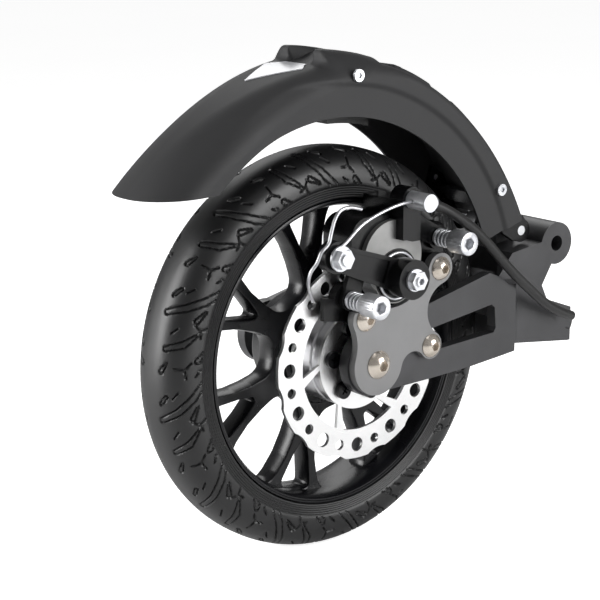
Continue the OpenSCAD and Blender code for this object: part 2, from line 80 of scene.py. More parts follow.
def band(low, high, soft, value):
    """1 between low and high, falling to 0 over soft on either side."""
    return smooth(low - soft, low, value) * (1 - smooth(high, high + soft, value))


def turn(point, degrees):
    """An (x, z) point turned about the wheel centre."""
    c = math.cos(math.radians(degrees))
    s = math.sin(math.radians(degrees))
    return (point[0] * c - point[1] * s, point[0] * s + point[1] * c)


def add_piece(name, points, faces, material, body, slot, replaced=(), sharp=35):
    """Makes a mesh piece from points in mm from the wheel centre and ties it to its body."""
    mesh = bpy.data.meshes.new(name)
    mesh.from_pydata([at(*p) for p in points], [], faces)
    outward = bmesh.new()
    outward.from_mesh(mesh)
    bmesh.ops.recalc_face_normals(outward, faces=outward.faces)
    outward.to_mesh(mesh)
    outward.free()
    mesh.shade_smooth()
    mesh.set_sharp_from_angle(angle=math.radians(sharp))
    mesh.materials.append(material)
    piece = bpy.data.objects.new(name, mesh)
    bpy.context.scene.collection.objects.link(piece)
    if body:
        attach(piece, body)
    if replaced:
        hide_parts(*replaced)
    return piece


def grid_faces(rows, columns, wrap_rows=False, wrap_columns=False):
    """Quads of a rows by columns grid of points, row by row."""
    faces = []
    for i in range(rows if wrap_rows else rows - 1):
        for j in range(columns if wrap_columns else columns - 1):
            i2 = (i + 1) % rows
            j2 = (j + 1) % columns
            faces.append((i * columns + j, i * columns + j2, i2 * columns + j2, i2 * columns + j))
    return faces


def lathe(profile, steps=96, centre=(0, 0), wave=None):
    """Points and faces of a closed (r, y) profile turned around a Y axis through centre."""
    points = []
    for i in range(steps):
        a = TAU * i / steps
        for r, y in profile:
            radius = r + (wave(r, y, a) if wave else 0)
            points.append((centre[0] + radius * math.cos(a), y, centre[1] + radius * math.sin(a)))
    return points, grid_faces(steps, len(profile), True, True)


def circle(centre, radius, steps=64):
    """A round outline of (x, z) points."""
    return [(centre[0] + radius * math.cos(TAU * i / steps),
             centre[1] + radius * math.sin(TAU * i / steps)) for i in range(steps)]


def hexagon(centre, half_flat, first=0.0):
    """A hexagon outline, half_flat from the centre to each side, turned by first radians."""
    r = half_flat / math.cos(math.pi / 6)
    return [(centre[0] + r * math.cos(first + TAU * i / 6),
             centre[1] + r * math.sin(first + TAU * i / 6)) for i in range(6)]


def rounded(corners, steps=6):
    """A closed outline from (x, z, fillet radius) corners."""
    longest_reach = 0.49  # share of an edge that one fillet may take
    outline = []
    count = len(corners)
    for i, (x, z, radius) in enumerate(corners):
        here = Vector((x, z))
        before = Vector(corners[i - 1][:2]) - here
        after = Vector(corners[(i + 1) % count][:2]) - here
        if radius <= 0:
            outline.append((x, z))
            continue
        half = before.angle(after) / 2
        reach = min(radius / math.tan(half), longest_reach * before.length,
                    longest_reach * after.length)
        radius = reach * math.tan(half)
        start = here + before.normalized() * reach
        end = here + after.normalized() * reach
        middle = here + (before.normalized() + after.normalized()).normalized() \
            * radius / math.sin(half)
        a0 = math.atan2(start.y - middle.y, start.x - middle.x)
        a1 = math.atan2(end.y - middle.y, end.x - middle.x)
        sweep = (a1 - a0 + math.pi) % TAU - math.pi
        for k in range(steps + 1):
            a = a0 + sweep * k / steps
            outline.append((middle.x + radius * math.cos(a), middle.y + radius * math.sin(a)))
    return outline


def signed_area(loop):
    """Area of an outline, positive when it runs anticlockwise."""
    return sum(a[0] * b[1] - b[0] * a[1] for a, b in zip(loop, loop[1:] + loop[:1])) / 2


def inset_loop(loop, distance):
    """The loop moved to its left by distance, so into the metal for an outline and its holes."""
    moved = []
    count = len(loop)
    for i in range(count):
        a = Vector(loop[i - 1])
        b = Vector(loop[i])
        c = Vector(loop[(i + 1) % count])
        u = (b - a).normalized()
        v = (c - b).normalized()
        n = Vector((-u.y - v.y, u.x + v.x))
        if n.length < 1e-6:
            n = Vector((-u.y, u.x))
        n.normalize()
        grow = 1 / max(0.5, n.dot(Vector((-u.y, u.x))))
        moved.append((b.x + n.x * distance * grow, b.y + n.y * distance * grow))
    return moved


def slab(outline, holes, levels):
    """A plate with holes. levels is a list of (y, inset), front to back."""
    loops = [outline if signed_area(outline) > 0 else outline[::-1]]
    loops += [h if signed_area(h) < 0 else h[::-1] for h in holes]
    points, faces = [], []
    rings = []
    for loop in loops:
        first = len(points)
        for y, inset in levels:
            points += [(x, y, z) for x, z in inset_loop(loop, inset)]
        faces += [tuple(first + k for k in face)
                  for face in grid_faces(len(levels), len(loop), False, True)]
        rings.append((first, len(loop)))
    for level in (0, len(levels) - 1):
        index = [first + level * size + k for first, size in rings for k in range(size)]
        flat = []
        for first, size in rings:
            start = first + level * size
            flat.append([Vector((points[start + k][0], points[start + k][2], 0))
                         for k in range(size)])
        faces += [tuple(index[k] for k in tri) for tri in geometry.tessellate_polygon(flat)]
    return points, faces


def bevelled(y0, y1, size, steps=3):
    """Slab levels from y0 to y1 with round bevels of a size."""
    sign = 1 if y1 > y0 else -1
    levels = []
    for k in range(steps + 1):
        a = math.pi / 2 * k / steps
        levels.append((y0 + sign * size * (1 - math.cos(a)), size * (1 - math.sin(a))))
    return levels + [(y1 - (y - y0), inset) for y, inset in reversed(levels)]


def smooth_path(points, steps=8):
    """A Catmull-Rom curve through the points."""
    p = [Vector(q) for q in points]
    p = [2 * p[0] - p[1]] + p + [2 * p[-1] - p[-2]]
    path = []
    for i in range(1, len(p) - 2):
        for k in range(steps):
            t = k / steps
            path.append(0.5 * (2 * p[i] + (p[i + 1] - p[i - 1]) * t
                               + (2 * p[i - 1] - 5 * p[i] + 4 * p[i + 1] - p[i + 2]) * t * t
                               + (3 * p[i] - p[i - 1] - 3 * p[i + 1] + p[i + 2]) * t ** 3))
    return path + [p[-2]]


def tube(path, radius, sides=16, strands=0, lay=6.0):
    """Points and faces of a round bar along a path, optionally of strands with a lay in mm."""
    strand_swell = 0.09  # share of the radius
    path = [Vector(p) for p in path]
    points = []
    normal = None
    travelled = 0.0
    for i, here in enumerate(path):
        ahead = path[min(i + 1, len(path) - 1)] - path[max(i - 1, 0)]
        ahead.normalize()
        if normal is None:
            normal = ahead.orthogonal().normalized()
        else:
            travelled += (here - path[i - 1]).length
            normal = (normal - ahead * normal.dot(ahead)).normalized()
        side = ahead.cross(normal)
        for k in range(sides):
            a = TAU * k / sides
            r = radius
            if strands:
                r *= 1 + strand_swell * math.cos(strands * a + TAU * travelled / lay)
            points.append(tuple(here + (normal * math.cos(a) + side * math.sin(a)) * r))
    faces = grid_faces(len(path), sides, False, True)
    last = (len(path) - 1) * sides
    faces.append(tuple(range(sides)))
    faces.append(tuple(range(last + sides - 1, last - 1, -1)))
    return points, faces


def helix(centre, mean_r, y0, y1, turns, flat_turns=0.8, steps=28):
    """Path of a coil spring along Y, its end turns flat."""
    softening = 0.15  # share of the rise that is eased, so that no turn kinks
    total = turns + 2 * flat_turns
    path = []
    for i in range(int(total * steps) + 1):
        t = i / steps
        a = TAU * t
        rise = smooth(flat_turns * 0.5, total - flat_turns * 0.5, t)
        straight = min(1, max(0, (t - flat_turns) / turns))
        y = y0 + (y1 - y0) * (softening * rise + (1 - softening) * straight)
        path.append((centre[0] + mean_r * math.cos(a), y, centre[1] + mean_r * math.sin(a)))
    return path


def joined(*parts):
    """Several (points, faces) as one."""
    points, faces = [], []
    for part_points, part_faces in parts:
        first = len(points)
        points += list(part_points)
        faces += [tuple(first + k for k in face) for face in part_faces]
    return points, faces


# ---------------------------------------------------------------- materials

def node_kit(name):
    """A new node material with short ways to add and link nodes."""
    material = bpy.data.materials.new(name)
    material.use_nodes = True
    nodes = material.node_tree.nodes
    links = material.node_tree.links
    shader = nodes["Principled BSDF"]
    coords = nodes.new("ShaderNodeTexCoord")

    def noise(scale, detail=4.0, rough=0.55, vector=None):
        n = nodes.new("ShaderNodeTexNoise")
        n.inputs["Scale"].default_value = scale
        n.inputs["Detail"].default_value = detail
        n.inputs["Roughness"].default_value = rough
        links.new(vector or coords.outputs["Object"], n.inputs["Vector"])
        return n.outputs["Fac"]

    def ramp(source, low, high, colour_low, colour_high):
        n = nodes.new("ShaderNodeValToRGB")
        n.color_ramp.elements[0].position = low
        n.color_ramp.elements[1].position = high
        n.color_ramp.elements[0].color = (*colour_low, 1)
        n.color_ramp.elements[1].color = (*colour_high, 1)
        links.new(source, n.inputs["Fac"])
        return n.outputs["Color"]

    def spread(source, low, high):
        n = nodes.new("ShaderNodeMapRange")
        n.inputs["To Min"].default_value = low
        n.inputs["To Max"].default_value = high
        links.new(source, n.inputs["Value"])
        return n.outputs["Result"]

    def bump(source, strength, distance, under=None):
        n = nodes.new("ShaderNodeBump")
        n.inputs["Strength"].default_value = strength
        n.inputs["Distance"].default_value = distance
        links.new(source, n.inputs["Height"])
        if under:
            links.new(under, n.inputs["Normal"])
        return n.outputs["Normal"]

    return SimpleNamespace(material=material, nodes=nodes, links=links, shader=shader,
                           coords=coords, noise=noise, ramp=ramp, spread=spread, bump=bump)


def finish_material(name, light, dark, metallic, rough, grain, grain_depth, patch=30.0, coat=0.0,
                    shine=0.5):
    """Two tones mixed by soft patches, uneven gloss and a fine grain. grain and patch are noise
    scales, grain_depth is in metres, coat and shine are the coat and specular levels."""
    kit = node_kit(name)
    shader = kit.shader
    patches = kit.noise(patch, 5)
    fine = kit.noise(grain, 3, 0.7)
    kit.links.new(kit.ramp(patches, 0.35, 0.65, dark, light), shader.inputs["Base Color"])
    kit.links.new(kit.spread(patches, rough * 0.8, rough * 1.2), shader.inputs["Roughness"])
    kit.links.new(kit.bump(fine, 0.5, grain_depth), shader.inputs["Normal"])
    shader.inputs["Metallic"].default_value = metallic
    shader.inputs["Specular IOR Level"].default_value = shine
    shader.inputs["Coat Weight"].default_value = coat
    shader.inputs["Coat Roughness"].default_value = 0.25
    return kit.material


def polar_turned(name, light, dark, rough, rings, depth):
    """Turned or ground metal: fine rings around the wheel axle over uneven gloss."""
    kit = node_kit(name)
    nodes, links, shader = kit.nodes, kit.links, kit.shader
    centred = nodes.new("ShaderNodeVectorMath")
    centred.operation = "SUBTRACT"
    centred.inputs[1].default_value = at(0, 0, 0)
    links.new(kit.coords.outputs["Object"], centred.inputs[0])
    parts = nodes.new("ShaderNodeSeparateXYZ")
    links.new(centred.outputs["Vector"], parts.inputs["Vector"])
    flat = nodes.new("ShaderNodeCombineXYZ")
    links.new(parts.outputs["X"], flat.inputs["X"])
    links.new(parts.outputs["Z"], flat.inputs["Y"])
    radius = nodes.new("ShaderNodeVectorMath")
    radius.operation = "LENGTH"
    links.new(flat.outputs["Vector"], radius.inputs[0])
    lines = nodes.new("ShaderNodeTexNoise")
    lines.noise_dimensions = "1D"
    lines.inputs["Scale"].default_value = rings
    lines.inputs["Detail"].default_value = 3
    links.new(radius.outputs["Value"], lines.inputs["W"])
    ring_noise = lines.outputs["Fac"]
    patches = kit.noise(40.0, 4)
    links.new(kit.ramp(patches, 0.3, 0.7, dark, light), shader.inputs["Base Color"])
    links.new(kit.spread(ring_noise, rough * 0.7, rough * 1.4), shader.inputs["Roughness"])
    links.new(kit.bump(ring_noise, 0.4, depth), shader.inputs["Normal"])
    shader.inputs["Metallic"].default_value = 1.0
    return kit.material


PAINTS = {
    "fork_paint": dict(light=(0.045, 0.045, 0.048), dark=(0.03, 0.03, 0.032), metallic=0.3,
                       rough=0.42, grain=2600, grain_depth=0.00006, coat=0.2),
    "plate_grey": dict(light=(0.21, 0.21, 0.212), dark=(0.18, 0.18, 0.182), metallic=0.5,
                       rough=0.5, grain=5200, grain_depth=0.00004),
    "nickel_bolt": dict(light=(0.8, 0.73, 0.65), dark=(0.62, 0.55, 0.47), metallic=0.8,
                        rough=0.18, grain=3000, grain_depth=0.00001, patch=120),
    "black_paint": dict(light=(0.006, 0.006, 0.0065), dark=(0.003, 0.003, 0.0035), metallic=0.0,
                        rough=0.24, grain=2200, grain_depth=0.00003, shine=0.3),
    "zinc": dict(light=(0.72, 0.73, 0.75), dark=(0.55, 0.56, 0.59), metallic=0.72,
                 rough=0.3, grain=2500, grain_depth=0.00002, patch=150),
    "tyre_rubber": dict(light=(0.011, 0.011, 0.0115), dark=(0.007, 0.007, 0.0075), metallic=0.0,
                        rough=0.42, grain=4200, grain_depth=0.00004, patch=25),
    "wheel_paint": dict(light=(0.005, 0.005, 0.0065), dark=(0.003, 0.003, 0.004), metallic=0.0,
                        rough=0.27, grain=2400, grain_depth=0.00003, patch=30, shine=0.4),
    "seal_rubber": dict(light=(0.015, 0.015, 0.015), dark=(0.01, 0.01, 0.01), metallic=0.0,
                        rough=0.6, grain=4000, grain_depth=0.00003),
    "caliper_cast": dict(light=(0.27, 0.27, 0.266), dark=(0.2, 0.2, 0.197), metallic=0.6,
                         rough=0.42, grain=3800, grain_depth=0.00008, patch=60, coat=0.1),
    "pad_compound": dict(light=(0.09, 0.08, 0.072), dark=(0.04, 0.035, 0.03), metallic=0.2,
                         rough=0.8, grain=1800, grain_depth=0.0001, patch=900),
    "cable_plastic": dict(light=(0.012, 0.012, 0.012), dark=(0.008, 0.008, 0.008), metallic=0.0,
                          rough=0.38, grain=3000, grain_depth=0.00002),
    "wire_steel": dict(light=(0.7, 0.7, 0.72), dark=(0.5, 0.5, 0.53), metallic=1.0,
                       rough=0.3, grain=3000, grain_depth=0.00001, patch=200),
    "fender_plastic": dict(light=(0.03, 0.03, 0.031), dark=(0.025, 0.025, 0.026), metallic=0.0,
                           rough=0.6, grain=3400, grain_depth=0.00006, patch=18, shine=0.3),
    "shoe_plastic": dict(light=(0.02, 0.02, 0.02), dark=(0.014, 0.014, 0.014), metallic=0.0,
                         rough=0.6, grain=2500, grain_depth=0.00008),
    "patch_film": dict(light=(0.62, 0.63, 0.65), dark=(0.5, 0.5, 0.53), metallic=0.1,
                       rough=0.22, grain=900, grain_depth=0.00001, patch=60, coat=0.6),
}

TURNED_METALS = {
    "bare_aluminium": dict(light=(0.75, 0.75, 0.77), dark=(0.6, 0.6, 0.62), rough=0.3,
                           rings=4000, depth=0.00002),
    "bearing_steel": dict(light=(0.7, 0.7, 0.72), dark=(0.55, 0.55, 0.57), rough=0.16,
                          rings=6000, depth=0.00001),
    "rotor_steel": dict(light=(0.9, 0.9, 0.9), dark=(0.8, 0.8, 0.8), rough=0.3,
                        rings=5200, depth=0.00002),
}

MATERIALS = {name: finish_material(name, **look) for name, look in PAINTS.items()}
MATERIALS.update({name: polar_turned(name, **look) for name, look in TURNED_METALS.items()})


def dress_cad_nodes():
    """Gives each CAD node its slot's material and a small round on its edges."""
    unrounded = {"guide_springs", "fender_spring", "bearing_balls", "ramp_balls", "wire_tail",
                 "brake_wire", "cable_housing", "return_spring"}
    wide_rounds = {"fork": 1.1, "caliper_body": 1.2, "brake_lever": 0.9, "caliper_bracket": 0.6,
                   "adapter_plate": 0.4, "brake_shoe": 0.8}
    usual_round = 0.22
    for row in frame["record"]["subparts"]:
        node = frame["nodes"][row["node"]]
        node.data.materials.clear()
        node.data.materials.append(MATERIALS[row["material_slot"]])
        if row["node"] in unrounded:
            continue
        edge = node.modifiers.new("soft_edges", "BEVEL")
        edge.width = wide_rounds.get(row["node"], usual_round) * MM
        edge.segments = 3
        edge.limit_method = "ANGLE"
        edge.angle_limit = math.radians(38)


# ---------------------------------------------------------------- tyre

TYRE_R = 100.0
RIM_R = 76.0
TYRE_HALF = 17.5
SHOULDER_R = 82.8
TREAD_PITCHES = 12  # repeats of the tread round the tyre
GROOVE_DEPTH = 0.95


def near_segment(a, v, start, end, radius_start, radius_end):
    """Distance from points to a tapered capsule, negative inside."""
    da, dv = end[0] - start[0], end[1] - start[1]
    t = np.clip(((a - start[0]) * da + (v - start[1]) * dv) / (da * da + dv * dv), 0, 1)
    gap = np.hypot(a - start[0] - t * da, v - start[1] - t * dv)
    return gap - (radius_start + t * (radius_end - radius_start))


def tread_depth(a, v):
    """Groove depth from 0 to 1 at a mm round and v mm in from the shoulder, in one tread pitch."""
    leaf_line = 0.36  # mm, width of the outline of a leaf
    cut_line = 0.45
    far_away = 1e3
    grooves = np.zeros_like(a)

    def carve(distance, width):
        np.maximum(grooves, 1 - smooth(width * 0.6, width * 1.3, distance), out=grooves)

    def leaf(*points_and_radii):
        """Outline of a bent leaf through (a, v, radius) points."""
        inside = np.full_like(a, far_away)
        for (a0, v0, r0), (a1, v1, r1) in zip(points_and_radii, points_and_radii[1:]):
            inside = np.minimum(inside, near_segment(a, v, (a0, v0), (a1, v1), r0, r1))
        carve(np.abs(inside), leaf_line)

    def cut(*points):
        """A plain cut through (a, v) points."""
        for start, end in zip(points, points[1:]):
            carve(near_segment(a, v, start, end, 0, 0), cut_line)

    leaf((1, -2, 1.6), (9, 5, 1.9), (15, 13, 1.7), (19, 22, 1.3))
    leaf((14, 3, 0.5), (20, 6.5, 1.3))
    leaf((26, 3.5, 0.4), (33, 11, 1.7), (36, 19, 1.2))
    leaf((35, -2, 0.8), (41, 2.5, 1.5))
    cut((22, -1), (24.5, 3.5), (22, 7))
    cut((24.5, 3.5), (28.5, 2.5))
    cut((42, 6), (45.5, 9), (50, 8.2))
    cut((45.5, 9), (45, 14))
    cut((5, 12), (8, 15))
    leaf((7, 18, 0.8), (10.5, 21, 0.8))
    cut((25.5, 14.5), (28.5, 17.5))
    leaf((43, 18, 0.5), (47, 20.5, 1.1))
    cut((46, 1), (49.5, 3.2))
    return grooves


def tyre_profile(crown_steps=96):
    """(r, y) points of the tyre from bead to bead, with the numbers of its first and last crown
    points. The side bands carry fine ribs."""
    bands_start_r = RIM_R + 0.8
    bands_end_r = SHOULDER_R - 0.5
    bands_y = -17.3
    ribs = 5
    steps_a_rib = 4
    rib_depth = 0.32
    band_steps = steps_a_rib * ribs
    side_rows = [(RIM_R, -14.0), (RIM_R, -16.6), (RIM_R + 0.4, -17.2)]
    for k in range(band_steps + 1):
        r = bands_start_r + (bands_end_r - bands_start_r) * k / band_steps
        dip = rib_depth / 2 * (1 - math.cos(TAU * k / steps_a_rib)) if 0 < k < band_steps else 0
        side_rows.append((r, bands_y + dip))
    crown = []
    for k in range(crown_steps + 1):
        s = math.sin(-math.pi / 2 + math.pi * k / crown_steps)
        c = math.cos(-math.pi / 2 + math.pi * k / crown_steps)
        crown.append((SHOULDER_R + (TYRE_R - SHOULDER_R) * abs(c) ** 0.8,
                      math.copysign(TYRE_HALF * abs(s) ** 0.8, s)))
    profile = np.array(side_rows + crown + [(r, -y) for r, y in reversed(side_rows)])
    return profile, len(side_rows), len(side_rows) + len(crown) - 1


def tyre(round_steps=1200):
    """The profile turned round the axle, its crown pushed in along the tread."""
    profile, first, last = tyre_profile()
    steps = np.hypot(*np.diff(profile, axis=0).T)
    along = np.concatenate([[0], np.cumsum(steps)])
    middle = (along[first] + along[last]) / 2
    tangent = np.gradient(profile, axis=0)
    normal = np.stack([tangent[:, 1], -tangent[:, 0]], 1)
    normal /= np.linalg.norm(normal, axis=1)[:, None]
    angle = np.arange(round_steps) * TAU / round_steps
    on_crown = band(along[first], along[last], 0.01, along)
    near_side = along < middle
    pitch = TAU * TYRE_R / TREAD_PITCHES
    v = np.where(near_side, along - along[first], along[last] - along)[None, :]
    a = angle[:, None] * TYRE_R + np.where(near_side, 0, pitch / 2)[None, :]
    a, v = np.broadcast_arrays(a, v)
    depth = np.zeros(a.shape)
    for shift in (-pitch, 0, pitch):
        depth = np.maximum(depth, tread_depth(a % pitch + shift, v))
    push = -GROOVE_DEPTH * depth * on_crown[None, :]
    r = profile[None, :, 0] + push * normal[None, :, 0]
    y = profile[None, :, 1] + push * normal[None, :, 1]
    points = np.stack([r * np.cos(angle)[:, None], y, r * np.sin(angle)[:, None]], 2)
    faces = grid_faces(round_steps, len(profile), True, True)
    add_piece("tyre_tread", points.reshape(-1, 3).tolist(), faces, MATERIALS["tyre_rubber"],
              "wheel", "tyre_rubber", ("tyre",), 40)


# ---------------------------------------------------------------- wheel

SPOKES = 7
FIRST_SPOKE = 100.5  # degrees from forward towards up
OPENING_R = 71.3  # outer end of the openings between the spokes


def spoke_openings():
    """Outlines of the large openings between spokes and of the small ones inside each Y."""
    pitch = 360 / SPOKES
    spoke_side = [(32.5, 6.4), (45, 8.0), (55, 10.3), (64, 14.2)]  # (r, half width)
    half_at_rim = 17.6
    rim_points = 5
    side_fillet, rim_corner_fillet, rim_fillet = 9, 4.5, 20
    small_side = [(47.8, 0.9, 0.9), (55, 4.1, 20), (64.5, 7.1, 12), (69.6, 8.6, 3.2)]
    small_rim = (OPENING_R - 0.2, 0, 30)
    small = [(x, -z, r) for x, z, r in small_side] + [small_rim] + small_side[::-1]
    start = math.degrees(math.asin(half_at_rim / OPENING_R))
    openings = []
    for k in range(SPOKES):
        here = FIRST_SPOKE + k * pitch
        there = here + pitch
        corners = [(*turn(p, here), side_fillet) for p in spoke_side]
        for j in range(rim_points):
            a = start + (pitch - 2 * start) * j / (rim_points - 1)
            fillet = rim_corner_fillet if j in (0, rim_points - 1) else rim_fillet
            corners.append((*turn((OPENING_R, 0), here + a), fillet))
        corners += [(*turn((x, -z), there), side_fillet) for x, z in reversed(spoke_side)]
        openings.append(rounded(corners, 5))
        openings.append(rounded([(*turn((x, z), here), r) for x, z, r in small], 5))
    return openings


def wheel():
    """Spoked web, rim and hub, which replace the cast wheel of the CAD."""
    web_r = 73.2
    web_front = [(-6, 1.5), (-5.75, 1.05), (-5.3, 0.85)]  # (y, inset), a crowned face
    web_levels = web_front + [(0, 0.0)] + [(-y, inset) for y, inset in reversed(web_front)]
    rim_half = [(RIM_R, -15.4), (75.4, -16.9), (74.6, -17.0), (74.3, -16.6), (73.6, -16.6),
                (73.3, -16.0), (72.6, -14.6), (71.9, -11.5), (71.5, -7.5)]
    rim_profile = rim_half + [(71.4, 0)] + [(r, -y) for r, y in reversed(rim_half)]
    hub_profile = [(9, -9), (25.6, -9), (26.6, -8.6), (27.2, -7.6), (27.8, -6.2), (29.6, -5.6),
                   (31, -5.2), (31, 5.2), (29.6, 5.6), (27.8, 6.2), (27, 7.6), (26, 17.4),
                   (25, 19.4), (24, 20), (14, 20), (13.4, 19.4), (11.6, 19.4), (11, 20),
                   (11, 13), (9, 13)]
    parts = {"wheel_web": slab(circle((0, 0), web_r, 180), spoke_openings(), web_levels),
             "wheel_rim": lathe(rim_profile, 240),
             "wheel_hub": lathe(hub_profile, 120)}
    for name, shape in parts.items():
        add_piece(name, *shape, MATERIALS["wheel_paint"], "wheel", "wheel_paint",
                  ("wheel_core",) if name == "wheel_web" else (), 28)


def rotor_carrier():
    """The turned drum between the hub and the rotor."""
    profile = [(11, -30.7), (11, -21), (9, -21), (9, -9), (22.5, -9), (24, -10), (24, -24),
               (23.2, -24.6), (23.2, -26.4), (24, -27), (24, -30), (23.4, -30.7)]
    add_piece("rotor_carrier_turned", *lathe(profile, 128), MATERIALS["bare_aluminium"], "wheel",
              "bare_aluminium", ("rotor_carrier",), 30)


# ---------------------------------------------------------------- brake

GUIDE_A = (-13.6, 32.8)
GUIDE_B = (41.8, 56.0)


def knurled_outline(centre, radius, knurls=30, depth=0.12):
    """A circle with square knurls: four points to a knurl, two of them low."""
    steps = knurls * 4
    outline = []
    for k in range(steps):
        r = radius - (depth if k % 4 in (0, 3) else 0)
        outline.append((centre[0] + r * math.cos(TAU * k / steps),
                        centre[1] + r * math.sin(TAU * k / steps)))
    return outline


def guide_bolts():
    """Knurled socket heads on plain shanks, each with its coil spring."""
    head_y, head_end, shank_end = -53.5, -64.3, -35.8
    head_r, shank_r, tip_r = 5.8, 3, 2.6
    almost_axis = 0.01  # mm, keeps a turned end closed
    overlap = 0.4
    socket_flat, socket_turn = 2.5, 0.2  # half across flats in mm, radians
    floor_r, floor_depth, floor_thick = 3.2, 4.0, 0.6
    spring_r, wire_r, spring_turns = 3.9, 0.62, 4
    spring_front, spring_back = -52.8, -43.2
    for label, centre in (("a", GUIDE_A), ("b", GUIDE_B)):
        head = slab(knurled_outline(centre, head_r), [hexagon(centre, socket_flat, socket_turn)],
                    bevelled(head_end, head_y, 0.5))
        floor_y = head_end + floor_depth
        floor = slab(circle(centre, floor_r), [], [(floor_y, 0), (floor_y + floor_thick, 0)])
        shank = lathe([(almost_axis, head_y - overlap), (shank_r, head_y - overlap),
                       (shank_r, shank_end + shank_r - tip_r), (tip_r, shank_end),
                       (almost_axis, shank_end)], 48, centre)
        first = label == "a"
        add_piece(f"guide_bolt_{label}", *joined(head, floor, shank), MATERIALS["zinc"], "frame",
                  "zinc", ("guide_bolts",) if first else (), 30)
        path = helix(centre, spring_r, spring_front, spring_back, spring_turns)
        spring = add_piece(f"guide_spring_{label}", *tube(path, wire_r, 12), MATERIALS["zinc"],
                           "frame", "zinc", ("guide_springs",) if first else (), 60)
        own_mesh(spring)


def cables():
    """The jacket on the caliper, the bare wire, and the tail on the lever."""
    jacket_r, wire_r, tail_r = 2.5, 0.78, 0.85
    strands, lay = 6, 3.0
    housing = [(24.5, -54, 77.2), (27.5, -54, 75.6), (37.9, -54, 70.7), (52.8, -53, 61.7),
               (63.9, -52, 53), (76.3, -50, 42.3), (88.9, -48, 31.8), (102.7, -45, 21.9),
               (116.8, -42, 12.3), (130, -40, 5.4), (141.2, -38, 0.9)]
    add_piece("cable_jacket", *tube(smooth_path(housing, 10), jacket_r, 24),
              MATERIALS["cable_plastic"], "caliper", "cable_plastic", ("cable_housing",), 60)
    wire = [(-33.5, -53.5, 60), (-26.4, -53.5, 63.6), (-16.8, -53.5, 70.7), (-4.7, -53.7, 75.4),
            (8, -54, 78.1), (21, -54, 78.3)]
    bare = add_piece("bare_wire", *tube(smooth_path(wire, 24), wire_r, 20, strands, lay),
                     MATERIALS["wire_steel"], None, "wire_steel", ("brake_wire",), 60)
    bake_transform(bare)
    tail = [(-17.2, -53.5, 78.3), (-23.8, -53.5, 79.9), (-29.2, -53.5, 79.3),
            (-32.7, -53.5, 75.9), (-35.1, -53.5, 69.7), (-36.8, -53.5, 64.4),
            (-40.3, -53, 61.1), (-42.3, -52, 56), (-44.6, -50, 51.1), (-43.1, -47, 44.4),
            (-37, -42.6, 35.6)]
    add_piece("bent_tail", *tube(smooth_path(tail, 8), tail_r, 16), MATERIALS["wire_steel"],
              "lever", "wire_steel", ("wire_tail",), 60)


# ---------------------------------------------------------------- fender

FENDER_CENTRE = np.array((-7.8, 14.9))
FENDER_LOW_R = 101.8
FENDER_HALF = 27.0
FENDER_WALL = 3.0
LOW_EDGE_ANGLES = (17.2, 134.1)  # degrees from forward, where the lower edge starts and ends
CROWN_ANGLES = (17.4, 145.6)
REAR_ARC = (np.array((14.0, -28.2)), 170.6)
FRONT_ARC = (np.array((-24.8, -6.1)), 153.4)

# The two rails on the crown and the raised pads between and on them
RAIL_ARC = (np.array((14.55, -30.6)), 177.8)
RAIL_START = -8.0  # x where the two rails rise from the crown
RAIL_INSIDE = 8.6  # half of the channel between the rails
RAIL_OUTSIDE = 13.5  # from here the rails slope down to the side walls
PADS = [(-8, 21, 2.2), (31, 54, 1.8), (68, 88, 1.8)]  # (rear x, front x, height)
PAD_EDGE = 0.8

# The crease on the side walls: the wall below it stands back
CREASE_CENTRE = (-9.75, 13.8)
CREASE_R = 118.6
CREASE_RISE = 3.4  # growth of its radius towards the rear
CREASE_DEPTH = 1.5
CREASE_SOFT = 1.6


def ray_to_circle(origin, direction, centre, radius):
    """Distance from origin along direction to a circle round the origin."""
    offset = origin - centre
    b = offset @ direction
    return -b + math.sqrt(b * b - offset @ offset + radius * radius)


def crown_reach(ray):
    """Distance from the fender centre to the plain crown along a ray."""
    return min(ray_to_circle(FENDER_CENTRE, ray, *REAR_ARC),
               ray_to_circle(FENDER_CENTRE, ray, *FRONT_ARC))


def shoulder_radius(x):
    """The section is square-shouldered in front and a dome at the tail."""
    front, middle_extra, tail_extra = 3.5, 7.5, 14.0
    behind_front = 1 - float(smooth(5, 45, x))
    towards_tail = float(smooth(0, 105, -x))
    return front + middle_extra * behind_front + tail_extra * towards_tail


